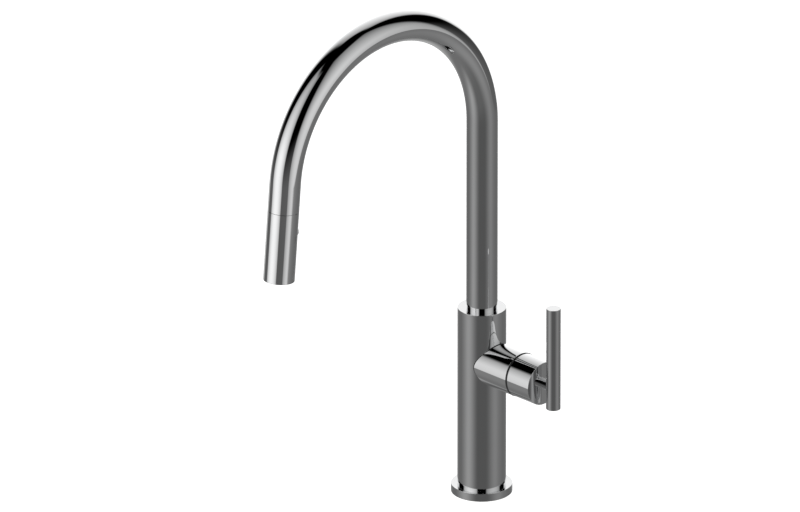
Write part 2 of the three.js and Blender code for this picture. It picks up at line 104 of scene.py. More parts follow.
# ---- meshes ------------------------------------------------------------------------
class Outline:
    """A closed or axis-to-axis outline of (radius, height) points, with soft corners and exact normals."""

    def __init__(self, corners, soften=EDGE, arc_steps=3):
        self.edges = []  # (start, end, normal at start, normal at end)
        points = [np.array(c[:2], float) for c in corners]
        radii = [c[2] if len(c) > 2 else soften for c in corners]
        count = len(points)
        on_axis = [p[0] < 1e-9 for p in points]
        area = sum(
            points[i][0] * points[(i + 1) % count][1] - points[(i + 1) % count][0] * points[i][1]
            for i in range(count)
        )
        side = 1.0 if area > 0 else -1.0

        def outward(a, b):
            d = (b - a) / np.linalg.norm(b - a)
            return side * np.array([d[1], -d[0]])

        ends = []
        arcs = []
        for i in range(count):
            before, here, after = points[i - 1], points[i], points[(i + 1) % count]
            if on_axis[i] or radii[i] <= 0:
                ends.append((here, here))
                arcs.append([])
                continue
            a, b = before - here, after - here
            la, lb = np.linalg.norm(a), np.linalg.norm(b)
            a, b = a / la, b / lb
            half = math.acos(max(-1.0, min(1.0, float(a @ b)))) / 2
            if half > math.radians(84):
                ends.append((here, here))
                arcs.append([])
                continue
            reach = min(radii[i] / math.tan(half), 0.45 * la, 0.45 * lb)
            radius = reach * math.tan(half)
            centre = here + (a + b) / np.linalg.norm(a + b) * (radius / math.sin(half))
            start, end = here + a * reach, here + b * reach
            ends.append((start, end))
            n0, n1 = outward(before, here), outward(here, after)
            turn = [start]
            normals = [n0]
            for k in range(1, arc_steps):
                t = k / arc_steps
                n = n0 * math.sin((1 - t) * (math.pi - 2 * half)) + n1 * math.sin(t * (math.pi - 2 * half))
                n = n / np.linalg.norm(n)
                out = 1.0 if (start - centre) @ n0 > 0 else -1.0
                turn.append(centre + out * radius * n)
                normals.append(n)
            turn.append(end)
            normals.append(n1)
            arcs.append(list(zip(turn[:-1], turn[1:], normals[:-1], normals[1:])))
        for i in range(count):
            self.edges.extend(arcs[i])
            j = (i + 1) % count
            if on_axis[i] and on_axis[j]:
                continue
            a, b = ends[i][1], ends[j][0]
            if np.linalg.norm(b - a) > 1e-9:
                n = outward(points[i], points[j])
                self.edges.append((a, b, n, n))

    def smooth(self, first, last, centre):
        """Marks the edges whose ends lie between two radii from centre as one round arc about it."""
        fixed = []
        for a, b, na, nb in self.edges:
            ra, rb = np.linalg.norm(a - centre), np.linalg.norm(b - centre)
            if first <= ra <= last and first <= rb <= last:
                ua, ub = (a - centre) / ra, (b - centre) / rb
                sign = 1.0 if na @ ua > 0 else -1.0
                na, nb = sign * ua, sign * ub
            fixed.append((a, b, na, nb))
        self.edges = fixed
        return self


def make_mesh(name, verts, faces, normals=None):
    mesh = bpy.data.meshes.new(name)
    mesh.from_pydata([tuple(v) for v in verts], [], faces)
    mesh.polygons.foreach_set("use_smooth", [True] * len(faces))
    if normals is not None:
        mesh.normals_split_custom_set([tuple(n) for n in normals])
    mesh.update()
    piece = bpy.data.objects.new(name, mesh)
    bpy.context.scene.collection.objects.link(piece)
    return piece


def turned(name, outline, place=UPRIGHT, segments=192):
    """Turns an Outline about the local Z axis of place."""
    keys = {}
    rings = []

    def ring_of(point):
        key = (round(point[0] * 1e8), round(point[1] * 1e8))
        if key not in keys:
            keys[key] = len(rings)
            rings.append(point)
        return keys[key]

    edges = [(ring_of(a), ring_of(b), na, nb) for a, b, na, nb in outline.edges]
    angles = [2 * math.pi * k / segments for k in range(segments)]
    circle = [(math.cos(t), math.sin(t)) for t in angles]
    verts, first, single = [], [], []
    for r, z in rings:
        first.append(len(verts))
        single.append(r < 1e-9)
        if r < 1e-9:
            verts.append(Vector((0, 0, z)))
        else:
            verts.extend(Vector((r * c, r * s, z)) for c, s in circle)
    faces, normals = [], []
    rotation = place.to_3x3()

    def tilt(n, k):
        c, s = circle[k % segments]
        return rotation @ Vector((n[0] * c, n[0] * s, n[1]))

    for a, b, na, nb in edges:
        for k in range(segments):
            m = (k + 1) % segments
            corners = []
            if single[a]:
                corners.append((first[a], rotation @ Vector((0, 0, na[1] if abs(na[1]) > 0 else 1))))
            else:
                corners.append((first[a] + k, tilt(na, k)))
                corners.append((first[a] + m, tilt(na, k + 1)))
            if single[b]:
                corners.append((first[b], rotation @ Vector((0, 0, nb[1] if abs(nb[1]) > 0 else 1))))
            else:
                corners.append((first[b] + m, tilt(nb, k + 1)))
                corners.append((first[b] + k, tilt(nb, k)))
            p = [verts[c[0]] for c in corners]
            across = (p[1] - p[0]).cross(p[2] - p[0])
            middle = rotation.inverted() @ sum((c[1] for c in corners), Vector())
            if across.dot(middle) < 0:
                corners.reverse()
            faces.append([c[0] for c in corners])
            normals.extend(c[1] for c in corners)
    verts = [place @ v for v in verts]
    return make_mesh(name, verts, faces, normals)


def swept(name, stations, segments=96):
    """A hollow tube along stations of (point, tangent, outer radius, bore radius, lean).

    Lean is the angle by which the skin's normal tips towards the nearer end, where the edge is softened.
    """
    verts, faces, normals = [], [], []
    side = Vector((1, 0, 0))
    circle = [2 * math.pi * k / segments for k in range(segments)]
    last = len(stations) - 1
    for skin, sign in ((2, 1), (3, -1)):
        first = len(verts)
        leaning = []
        for i, station in enumerate(stations):
            point, tangent = Vector(station[0]), Vector(station[1]).normalized()
            up = tangent.cross(side)
            out_of_end = -tangent if i < last / 2 else tangent
            row = [side * math.cos(t) + up * math.sin(t) for t in circle]
            verts.extend(point + d * station[skin] for d in row)
            lean = station[4]
            leaning.append([d * (sign * math.cos(lean)) + out_of_end * math.sin(lean) for d in row])
        for i in range(last):
            for k in range(segments):
                m = (k + 1) % segments
                quad = [(first + i * segments + k, leaning[i][k]), (first + i * segments + m, leaning[i][m]),
                        (first + (i + 1) * segments + m, leaning[i + 1][m]),
                        (first + (i + 1) * segments + k, leaning[i + 1][k])]
                add_face(verts, faces, normals, quad)
    bore = (last + 1) * segments
    for i in (0, last):
        n = Vector(stations[i][1]).normalized() * (-1 if i == 0 else 1)
        for k in range(segments):
            m = (k + 1) % segments
            quad = [i * segments + k, i * segments + m, bore + i * segments + m, bore + i * segments + k]
            add_face(verts, faces, normals, [(v, n) for v in quad])
    return make_mesh(name, verts, faces, normals)


def add_face(verts, faces, normals, corners):
    """Adds a face of (vertex, normal) corners, wound so that it faces the way its normals do."""
    p = [verts[c[0]] for c in corners]
    across = (p[1] - p[0]).cross(p[2] - p[0])
    if across.dot(sum((c[1] for c in corners), Vector())) < 0:
        corners = corners[::-1]
    faces.append([c[0] for c in corners])
    normals.extend(c[1] for c in corners)


def cut_hole(piece, place, radius, low, high, segments):
    """Takes a round rod along the local Z axis of place out of a piece."""
    outline = Outline([(0, low), (radius, low), (radius, high), (0, high)], 0)
    cutter = turned("cutter", outline, place, segments)
    cut = piece.modifiers.new("bore", "BOOLEAN")
    cut.operation = "DIFFERENCE"
    cut.solver = "EXACT"
    cut.object = cutter
    bpy.context.view_layer.update()
    evaluated = piece.evaluated_get(bpy.context.evaluated_depsgraph_get())
    mesh = bpy.data.meshes.new_from_object(evaluated)
    piece.modifiers.clear()
    piece.data = mesh
    bpy.data.objects.remove(cutter)


def drill(piece, outline, place, drill_place, radius, low, high):
    """Bores a round hole through a turned piece, then restores the piece's exact normals."""
    cut_hole(piece, drill_place, radius, low, high, 96)
    mesh = piece.data
    mesh.polygons.foreach_set("use_smooth", [True] * len(mesh.polygons))
    mesh.normals_split_custom_set(drilled_normals(mesh, outline, place, drill_place))
    mesh.update()


def corner_data(mesh):
    """Where each face corner is, and which way its face looks."""
    vertex = np.empty(len(mesh.loops), dtype=np.int32)
    mesh.loops.foreach_get("vertex_index", vertex)
    co = np.empty(len(mesh.vertices) * 3)
    mesh.vertices.foreach_get("co", co)
    flat = np.empty(len(mesh.polygons) * 3)
    mesh.polygons.foreach_get("normal", flat)
    total = np.empty(len(mesh.polygons), dtype=np.int32)
    mesh.polygons.foreach_get("loop_total", total)
    return co.reshape(-1, 3)[vertex], np.repeat(flat.reshape(-1, 3), total, axis=0)


def unit_rows(rows):
    return rows / np.maximum(np.linalg.norm(rows, axis=1, keepdims=True), 1e-12)


def drilled_normals(mesh, outline, place, drill_place):
    """Exact normals for a drilled piece: those of its outline, those of the hole, and flat ones elsewhere."""
    points, flats = corner_data(mesh)
    axis = np.array(drill_place.to_3x3().col[2])
    offset = points - np.array(drill_place.translation)
    out = unit_rows(offset - np.outer(offset @ axis, axis))
    towards = (out * flats).sum(axis=1)
    wall = np.abs(towards) > 0.9
    normals = np.where(wall[:, None], out * np.sign(towards)[:, None], flats)

    turn = np.array(place.to_3x3())
    local = (points - np.array(place.translation)) @ turn
    here = np.column_stack([np.hypot(local[:, 0], local[:, 1]), local[:, 2]])
    radial = unit_rows(local * [1, 1, 0])
    best = np.full(len(points), 0.93)
    for a, b, na, nb in outline.edges:
        d = b - a
        t = np.clip((here - a) @ d / (d @ d), 0, 1)[:, None]
        near = np.linalg.norm(a + t * d - here, axis=1) < 0.03 * MM
        n = na * (1 - t) + nb * t
        exact = unit_rows(radial * n[:, :1] + np.array([0, 0, 1]) * n[:, 1:]) @ turn.T
        agreement = (exact * flats).sum(axis=1)
        better = near & (agreement > best)
        best[better] = agreement[better]
        normals[better] = exact[better]
    return normals.tolist()


def move_vertices(piece, move):
    """Moves each vertex of a mesh by a rule and keeps its custom normals."""
    normals = [tuple(n.vector) for n in piece.data.corner_normals]
    for vertex in piece.data.vertices:
        vertex.co = move(vertex.co)
    piece.data.normals_split_custom_set(normals)
    piece.data.update()


def piece_from(bm, name, place):
    """Turns a finished bmesh into a piece, with its faces outward and moved to place."""
    bmesh.ops.recalc_face_normals(bm, faces=bm.faces)
    bm.transform(place)
    mesh = bpy.data.meshes.new(name)
    bm.to_mesh(mesh)
    bm.free()
    piece = bpy.data.objects.new(name, mesh)
    bpy.context.scene.collection.objects.link(piece)
    return piece


def place_piece(piece, body, slot, material, *nodes):
    """Puts a finished piece on its CAD body, in place of the nodes that it stands for."""
    piece.data.materials.clear()
    piece.data.materials.append(material)
    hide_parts(*nodes)
    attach(piece, body)
    return piece


# ---- materials ---------------------------------------------------------------------
class Shading:
    """Builds sums of shader nodes: each method adds a node and returns its output."""

    def __init__(self, tree):
        self.tree = tree

    def put(self, socket, value):
        if isinstance(value, (int, float)):
            socket.default_value = value
        else:
            self.tree.links.new(value, socket)

    def math(self, operation, *values):
        node = self.tree.nodes.new("ShaderNodeMath")
        node.operation = operation
        for socket, value in zip(node.inputs, values):
            self.put(socket, value)
        return node.outputs["Value"]

    def along(self, vector, direction):
        node = self.tree.nodes.new("ShaderNodeVectorMath")
        node.operation = "DOT_PRODUCT"
        self.tree.links.new(vector, node.inputs[0])
        node.inputs[1].default_value = direction
        return node.outputs["Value"]

    def step(self, value, start, end):
        """0 at start, 1 at end, smooth between; start may be the larger one."""
        node = self.tree.nodes.new("ShaderNodeMapRange")
        node.interpolation_type = "SMOOTHSTEP"
        self.put(node.inputs["Value"], value)
        self.put(node.inputs["From Min"], start)
        self.put(node.inputs["From Max"], end)
        return node.outputs["Result"]

    def distance(self, value, centre):
        return self.math("ABSOLUTE", self.math("SUBTRACT", value, centre))

    def bell(self, value, centre, reach):
        """1 at the centre, 0 beyond reach on either side, smooth between."""
        return self.step(self.distance(value, centre), reach, 0)

    def falloff(self, value, centre, reach):
        """1 at the centre, falling with the square of the distance, 0 at reach and beyond."""
        share = self.math("DIVIDE", self.distance(value, centre), reach)
        return self.math("MAXIMUM", self.math("SUBTRACT", 1.0, self.math("MULTIPLY", share, share)), 0.0)

    def total(self, operation, *values):
        result = values[0]
        for value in values[1:]:
            result = self.math(operation, result, value)
        return result


def new_material(name):
    material = bpy.data.materials.new(name)
    material.use_nodes = True
    tree = material.node_tree
    shader = tree.nodes["Principled BSDF"]
    place = tree.nodes.new("ShaderNodeTexCoord")
    return material, tree, shader, place


def noise_ramp(tree, place, scale, detail, low, high):
    """Object-space noise mapped between two greys or two colours."""
    noise = tree.nodes.new("ShaderNodeTexNoise")
    noise.inputs["Scale"].default_value = scale
    noise.inputs["Detail"].default_value = detail
    tree.links.new(place.outputs["Object"], noise.inputs["Vector"])
    ramp = tree.nodes.new("ShaderNodeValToRGB")
    ramp.color_ramp.elements[0].position = 0.35
    ramp.color_ramp.elements[1].position = 0.65
    ramp.color_ramp.elements[0].color = (*low, 1)
    ramp.color_ramp.elements[1].color = (*high, 1)
    tree.links.new(noise.outputs["Fac"], ramp.inputs["Fac"])
    return noise, ramp


def grey(value):
    return (value, value, value)


def surface(name, low, high, metallic, rough, scale, bump=0.0, bump_scale=None, bump_size=0.05 * MM):
    """A procedural material: colour and roughness wander with noise, and a finer noise gives a grain."""
    material, tree, shader, place = new_material(name)
    shader.inputs["Metallic"].default_value = metallic
    _, colour = noise_ramp(tree, place, scale, 4, low, high)
    tree.links.new(colour.outputs["Color"], shader.inputs["Base Color"])
    _, roughness = noise_ramp(tree, place, scale * 2.3, 3, grey(rough[0]), grey(rough[1]))
    tree.links.new(roughness.outputs["Color"], shader.inputs["Roughness"])
    if bump:
        grain = tree.nodes.new("ShaderNodeTexNoise")
        grain.inputs["Scale"].default_value = bump_scale
        grain.inputs["Detail"].default_value = 3
        tree.links.new(place.outputs["Object"], grain.inputs["Vector"])
        relief = tree.nodes.new("ShaderNodeBump")
        relief.inputs["Strength"].default_value = bump
        relief.inputs["Distance"].default_value = bump_size
        tree.links.new(grain.outputs["Fac"], relief.inputs["Height"])
        tree.links.new(relief.outputs["Normal"], shader.inputs["Normal"])
    return material


CHROME = surface("polished_chrome", (0.89, 0.895, 0.9), (0.91, 0.913, 0.916), 1.0, (0.018, 0.032), 30)
STEEL = surface("steel", (0.5, 0.51, 0.53), (0.58, 0.59, 0.6), 1.0, (0.22, 0.36), 220, 0.3, 1400)
BRASS = surface("brass", (0.55, 0.4, 0.17), (0.66, 0.5, 0.24), 1.0, (0.2, 0.38), 160, 0.25, 900)
WHITE_PLASTIC = surface("white_plastic", grey(0.72), grey(0.78), 0.0, (0.35, 0.5), 120, 0.15, 900)
GREY_PLASTIC = surface("grey_plastic", grey(0.19), grey(0.23), 0.0, (0.35, 0.5), 120, 0.15, 900)
DARK_PLASTIC = surface("dark_plastic", grey(0.02), grey(0.03), 0.0, (0.35, 0.5), 120, 0.15, 900)
CERAMIC = surface("ceramic", (0.8, 0.77, 0.7), (0.86, 0.83, 0.76), 0.0, (0.15, 0.25), 90, 0.05, 500)
RUBBER = surface("rubber", grey(0.018), grey(0.03), 0.0, (0.6, 0.8), 150, 0.4, 1100)
HOSE = surface("hose", grey(0.2), grey(0.3), 0.6, (0.35, 0.5), 300, 0.4, 1600)
FINISHES = {
    "polished_chrome": CHROME, "steel": STEEL, "brass": BRASS, "white_plastic": WHITE_PLASTIC,
    "grey_plastic": GREY_PLASTIC, "dark_plastic": DARK_PLASTIC, "ceramic": CERAMIC, "rubber": RUBBER,
    "hose": HOSE,
}
for subpart in frame["record"]["subparts"]:
    node = frame["nodes"][subpart["node"]]
    node.data.materials.clear()
    node.data.materials.append(FINISHES[subpart["material_slot"]])


# ---- base and body -------------------------------------------------------------------
GASKET_IN, GASKET_OUT, GASKET_DEEP = 21.2 * MM, 25.3 * MM, 2.3 * MM
SHANK_HOLE = 16.3 * MM


def make_base():
    flange = turned("flange", Outline([
        (SHANK_HOLE, 0), (GASKET_IN, 0), (GASKET_IN, GASKET_DEEP), (GASKET_OUT, GASKET_DEEP), (GASKET_OUT, 0),
        (FLANGE_R, 0), (FLANGE_R, FLANGE_TOP), (SHANK_HOLE, FLANGE_TOP),
    ]), segments=256)
    place_piece(flange, "column", "polished_chrome", CHROME, "base_flange")
    neck = turned("neck_ring", Outline([
        (SHANK_HOLE, FLANGE_TOP), (NECK_R, FLANGE_TOP), (NECK_R, BODY_BOTTOM), (SHANK_HOLE, BODY_BOTTOM),
    ], 0), segments=256)
    place_piece(neck, "column", "polished_chrome", CHROME, "lower_trim_ring")


def make_body():
    bore = BODY_R - BODY_WALL
    outline = Outline([
        (bore, BODY_BOTTOM), (BODY_R, BODY_BOTTOM), (BODY_R, BODY_TOP), (SPIGOT_HOLE, BODY_TOP),
        (SPIGOT_HOLE, BODY_TOP - TOP_WALL), (bore, BODY_TOP - TOP_WALL),
    ])
    body = turned("body_tube", outline, segments=256)
    drill(body, outline, UPRIGHT, VALVE, 14.4 * MM, 5 * MM, 40 * MM)
    place_piece(body, "column", "polished_chrome", CHROME, "body_shell")


# ---- side valve ------------------------------------------------------------------------
def make_valve():
    bore, joint_gap = 14.4 * MM, 1.0 * MM
    housing = turned("valve_collar", Outline([
        (bore, 0, 0), (HOUSING_R, 0, 0), (HOUSING_R, HOUSING_END), (18.1 * MM, HOUSING_END),
        (18.1 * MM, 46.6 * MM), (16.6 * MM, 46.6 * MM), (16.6 * MM, 40.3 * MM), (bore, 40.3 * MM),
    ]), VALVE, 256)
    saddle_r = BODY_R + joint_gap

    def to_saddle(co):
        if co.x > 0.5 * MM:
            return co
        return Vector((math.sqrt(saddle_r ** 2 - co.y ** 2), co.y, co.z))

    move_vertices(housing, to_saddle)
    place_piece(housing, "column", "polished_chrome", CHROME, "valve_housing")
    # A thin black ring in the joint between the housing and the body is painted shade: it stands for the deep
    # shadow in that gap and is no real seal.
    dark_ring = turned("valve_painted_shade_ring", Outline([
        (15 * MM, 0, 0), (HOUSING_R - 0.4 * MM, 0, 0), (HOUSING_R - 0.4 * MM, MM, 0), (15 * MM, MM, 0),
    ], 0), VALVE, 128)

    def to_shade_ring(co):
        face = BODY_R + (0.02 * MM if co.x < 0.5 * MM else joint_gap - 0.03 * MM)
        return Vector((math.sqrt(face ** 2 - co.y ** 2), co.y, co.z))

    move_vertices(dark_ring, to_shade_ring)
    place_piece(dark_ring, "column", "rubber", RUBBER)

    pivot = np.array([0.0, PIVOT.x])
    rim = HOUSING_END + 0.2 * MM

    def about(radius, start, end, steps):
        points = []
        for i in range(steps + 1):
            a = start + (end - start) * i / steps
            points.append((radius * math.sin(a), PIVOT.x + radius * math.cos(a), 0))
        return points

    hole = math.radians(32)
    inner = DOME_R - 1.6 * MM
    dome = turned("bonnet", Outline([
        (16.2 * MM, 46.8 * MM), (17.8 * MM, 46.8 * MM), (17.8 * MM, rim, 0),
        *about(DOME_R, math.acos((rim - PIVOT.x) / DOME_R), hole, 20),
        *about(inner, hole, math.asin(16.2 * MM / inner), 10),
    ]).smooth(inner - 0.05 * MM, DOME_R + 0.05 * MM, pivot), VALVE, 192)
    place_piece(dome, "column", "dark_plastic", DARK_PLASTIC, "bonnet_dome")

    stem_hole, socket_end, arm_socket = 4.25 * MM, 70.5 * MM, 72.8 * MM
    arm_hole = ARM_R + 0.02 * MM
    outline = Outline([
        *about(HUB_CUP_R, math.asin(stem_hole / HUB_CUP_R), math.asin(HUB_R / HUB_CUP_R), 20),
        (HUB_R, HUB_END), (arm_hole, HUB_END, 0), (arm_hole, arm_socket, 0), (0, arm_socket),
        (0, socket_end), (stem_hole, socket_end),
    ]).smooth(HUB_CUP_R - 0.05 * MM, HUB_CUP_R + 0.05 * MM, pivot)
    hub = turned("hub", outline, VALVE, 256)
    screw_place = Matrix.Translation((66 * MM, 0, VALVE_Z)) @ Matrix.Rotation(math.pi, 4, "X")
    drill(hub, outline, VALVE, screw_place, 2.2 * MM, 3 * MM, 25 * MM)
    place_piece(hub, "lever", "polished_chrome", CHROME, "lever_hub")

    arm = turned("arm", Outline([
        (0, arm_socket + 0.3 * MM), (ARM_R, arm_socket + 0.3 * MM, 0), (ARM_R, LEVER_X, 0), (0, LEVER_X),
    ]), VALVE, 128)
    sink = 0.1 * MM

    def to_rod(co):
        if co.x < LEVER_X - 0.5 * MM:
            return co
        return Vector((LEVER_X - math.sqrt(LEVER_R ** 2 - co.y ** 2) + sink, co.y, co.z))

    move_vertices(arm, to_rod)
    place_piece(arm, "lever", "polished_chrome", CHROME, "lever_arm")
    rod = turned("lever", Outline([
        (0, LEVER_LOW), (LEVER_R, LEVER_LOW), (LEVER_R, LEVER_HIGH), (0, LEVER_HIGH),
    ]), Matrix.Translation((LEVER_X, 0, 0)), 192)
    place_piece(rod, "lever", "polished_chrome", CHROME, "lever_rod")


# ---- spout -----------------------------------------------------------------------------
def softened_ends(stations, edge=EDGE, steps=3):
    """Rounds the rim at both ends of a tube whose stations are (point, tangent, outer, bore)."""
    result = [(*station, 0.0) for station in stations]
    for at_start in (True, False):
        point, tangent, outer, bore = stations[0 if at_start else -1]
        inward = Vector(tangent) if at_start else -Vector(tangent)
        rim = []
        for k in range(steps):
            a = math.radians(90) * (1 - k / steps)
            back = edge * (1 - math.sin(a))
            shrink = edge * (1 - math.cos(a))
            rim.append((Vector(point) + inward * back, tangent, outer - shrink, bore + shrink, a))
        near = (Vector(point) + inward * edge, tangent, outer, bore, 0.0)
        if at_start:
            result = [*rim, near, *result[1:]]
        else:
            result = [*result[:-1], near, *reversed(rim)]
    return result


def arc_station(angle, outer, bore):
    """A station on the spout's bend: the middle of the tube, its direction and its radii."""
    point = Vector((0, -ARC_R * (1 - math.cos(angle)), ARC_START + ARC_R * math.sin(angle)))
    return point, Vector((0, -math.sin(angle), math.cos(angle))), outer, bore


def make_spout():
    groove, half_width, depth = (BODY_TOP + TUBE_BOTTOM) / 2, 0.15 * MM, 0.25 * MM
    collar = turned("collar", Outline([
        (SPIGOT_HOLE, BODY_TOP), (COLLAR_R, BODY_TOP), (COLLAR_R, groove - half_width),
        (COLLAR_R - depth, groove), (COLLAR_R, groove + half_width), (COLLAR_R, TUBE_BOTTOM),
        (SPIGOT_HOLE, TUBE_BOTTOM),
    ], 0), segments=192)
    place_piece(collar, "spout", "polished_chrome", CHROME, "spout_collar")
    stations = [(Vector((0, 0, TUBE_BOTTOM)), Vector((0, 0, 1)), TUBE_R, TUBE_BORE)]
    steps = 120
    stations += [arc_station(ARC_SWEEP * i / steps, TUBE_R, TUBE_BORE) for i in range(steps + 1)]
    stations.append((SEAM - WAND_AXIS * 0.1 * MM, WAND_AXIS, TUBE_R, TUBE_BORE))
    tube = swept("spout_pipe", softened_ends(stations, 0.12 * MM), 128)
    place_piece(tube, "spout", "polished_chrome", CHROME, "spout_tube")


# ---- wand --------------------------------------------------------------------------------
def make_wand():
    bore, top_hole, top_wall = 12.6 * MM, 9.75 * MM, 2.2 * MM
    start = 0.1 * MM
    outline = Outline([
        (top_hole, start, 0), (TUBE_R, start, 0.12 * MM), (TUBE_R, WAND_LENGTH, 0.3 * MM),
        (bore, WAND_LENGTH), (bore, start + top_wall), (top_hole, start + top_wall),
    ])
    shell = turned("wand_tube", outline, WAND, 256)
    drill(shell, outline, WAND, BUTTON, 5.3 * MM, 8 * MM, 20 * MM)
    place_piece(shell, "wand", "polished_chrome", CHROME, "wand_shell")
    button = turned("button", Outline([
        (0, 10.5 * MM), (4.9 * MM, 10.5 * MM), (4.9 * MM, 15.9 * MM, 0.3 * MM),
        (4.6 * MM, 16.4 * MM, 0.4 * MM), (3.6 * MM, 16.75 * MM, 0.8 * MM), (1.8 * MM, 17.0 * MM, 0.8 * MM),
        (0, 17.05 * MM),
    ], 0.2 * MM, 4), BUTTON, 96)
    place_piece(button, "spray_button", "polished_chrome", CHROME, "mode_button")


# ---- fixings and tails under the worktop -------------------------------------------------
DECK = 30.0 * MM  # thickness of the worktop
TAIL_TOP = 108.7 * MM  # where the tails enter the valve block
HOSE_R, HOSE_BORE = 5.5 * MM, 3.6 * MM
HOSE_SHIFT = 7.0 * MM  # how far the hose runs to the left of the middle under the worktop


def ring_piece(name, outer, bore, low, high, place, body, slot, *nodes, soften=0.3 * MM, segments=96):
    outline = Outline([(bore, low), (outer, low), (outer, high), (bore, high)], soften)
    return place_piece(turned(name, outline, place, segments), body, slot, FINISHES[slot], *nodes)


def hexagon(name, radius, bore, low, high, place, holes=()):
    """A six-sided nut with turned-down corners, a round bore and optional (x, radius) holes through it."""
    bm = bmesh.new()
    segments = 96
    angles = [2 * math.pi * k / segments for k in range(segments)]
    chamfer = radius * 0.07
    half_side = math.pi / 6
    rows = []
    for z, shrink in ((low, 1), (low + chamfer * 0.6, 0), (high - chamfer * 0.6, 0), (high, 1)):
        row = []
        for a in angles:
            flat = radius * math.cos(half_side) / math.cos((a + half_side) % (2 * half_side) - half_side)
            r = min(flat, radius - chamfer * (1.0 + shrink))
            row.append(bm.verts.new((r * math.cos(a), r * math.sin(a), z)))
        rows.append(row)
    for z in (high, low):
        rows.append([bm.verts.new((bore * math.cos(a), bore * math.sin(a), z)) for a in angles])
    rows.append(rows[0])
    for a, b in zip(rows[:-1], rows[1:]):
        for k in range(segments):
            m = (k + 1) % segments
            bm.faces.new((a[k], a[m], b[m], b[k]))
    piece = piece_from(bm, name, place)
    for x, hole_radius in holes:
        cut_hole(piece, place @ Matrix.Translation((x, 0, 0)), hole_radius, low - MM, high + MM, 48)
    return piece


def make_shank():
    """The brass shank with its rolled thread, a true helix below the flange."""
    pitch, crest, root, bore = 1.5 * MM, 16.0 * MM, 15.1 * MM, 14.3 * MM
    low, thread_top, top = -62.0 * MM, -4.0 * MM, 24.0 * MM
    segments, per_turn = 48, 8
    angles = [2 * math.pi * k / segments for k in range(segments)]
    verts, faces = [], []
    rows = int((thread_top - low) / pitch * per_turn)
    heights = [low + (thread_top - low) * i / rows for i in range(rows + 1)] + [thread_top + 0.6 * MM, top]
    for i, z in enumerate(heights):
        for a in angles:
            turns = (z - low) / pitch - a / (2 * math.pi)
            ridge = abs(2 * (turns % 1.0) - 1)
            r = root + (crest - root) * min(1.0, 1.25 * ridge) if i <= rows else crest
            if i == 0:
                r = root
            verts.append((r * math.cos(a), r * math.sin(a), z))
    outer_rows = len(heights)
    for z in (top, low):
        verts.extend((bore * math.cos(a), bore * math.sin(a), z) for a in angles)
    order = list(range(outer_rows + 2)) + [0]
    for a, b in zip(order[:-1], order[1:]):
        for k in range(segments):
            m = (k + 1) % segments
            faces.append((a * segments + k, a * segments + m, b * segments + m, b * segments + k))
    mesh = bpy.data.meshes.new("threaded_shank")
    mesh.from_pydata(verts, [], faces)
    mesh.validate()
    piece = bpy.data.objects.new("threaded_shank", mesh)
    bpy.context.scene.collection.objects.link(piece)
    place_piece(piece, "column", "brass", BRASS, "mounting_shank")


def make_fixings():
    ring_piece("dark_ring", 25 * MM, 21.5 * MM, 0, 2 * MM, UPRIGHT, "column", "rubber", "base_gasket",
               soften=0.5 * MM)
    soft_low, hard_high, hard_low = -DECK - 3 * MM, -DECK - 3.3 * MM, -DECK - 5.3 * MM
    ring_piece("soft_washer", 26 * MM, SHANK_HOLE, soft_low, -DECK, UPRIGHT, "column", "rubber",
               "rubber_washer")
    ring_piece("hard_washer", 25 * MM, SHANK_HOLE, hard_low, hard_high, UPRIGHT, "column", "steel",
               "steel_washer")
    nut_low, nut_high, screw_x, screw_hole = -DECK - 17 * MM, -DECK - 8 * MM, 20.2 * MM, 2.8 * MM
    nut = hexagon("fixing_nut", 25 * MM, SHANK_HOLE, nut_low, nut_high, UPRIGHT,
                  [(screw_x, screw_hole), (-screw_x, screw_hole)])
    place_piece(nut, "column", "brass", BRASS, "mounting_nut")
    head_low, head_high = nut_low - 10 * MM, nut_low - 5 * MM
    crest, root, half_pitch = 2.5 * MM, 2.15 * MM, 0.4 * MM
    thread = []
    z = nut_low - 4.6 * MM
    while z < -DECK - 6.4 * MM:
        thread += [(crest, z, 0), (root, z + half_pitch, 0)]
        z += 2 * half_pitch
    outline = Outline([
        (0, head_low), (4 * MM, head_low), (4 * MM, head_high), *thread, (0, -DECK - 5.6 * MM),
    ])
    for name, side in (("right", 1), ("left", -1)):
        screw = turned("screw_" + name, outline, Matrix.Translation((side * screw_x, 0, 0)), 48)
        place_piece(screw, "column", "steel", STEEL, "nut_screw_" + name)
    make_tails()


def make_tails():
    """The supply tails and the mixed water's tail, with their unions, and the hose's coupler."""
    for name, side in (("hot", 1), ("cold", -1)):
        place = Matrix.Translation((4.5 * MM, side * 9 * MM, 0))
        ring_piece(name + "_tail", 3.8 * MM, 2.8 * MM, -88 * MM, TAIL_TOP, place, "column", "steel",
                   name + "_supply_tail", segments=48)
        union = hexagon(name + "_union", 7.5 * MM, 4.1 * MM, -84 * MM, -72 * MM, place)
        place_piece(union, "column", "brass", BRASS, name + "_supply_nut")
    ring_piece("mixed_tail", 3 * MM, 2.1 * MM, -72 * MM, TAIL_TOP, Matrix.Translation((4 * MM, 0, 0)),
               "column", "steel", "outlet_tail", segments=48)
    coupler = hexagon("coupler", 6.6 * MM, HOSE_BORE, -80.3 * MM, -70.3 * MM,
                      Matrix.Translation((-HOSE_SHIFT, 0, 0)))
    place_piece(coupler, "column", "brass", BRASS, "hose_coupler")


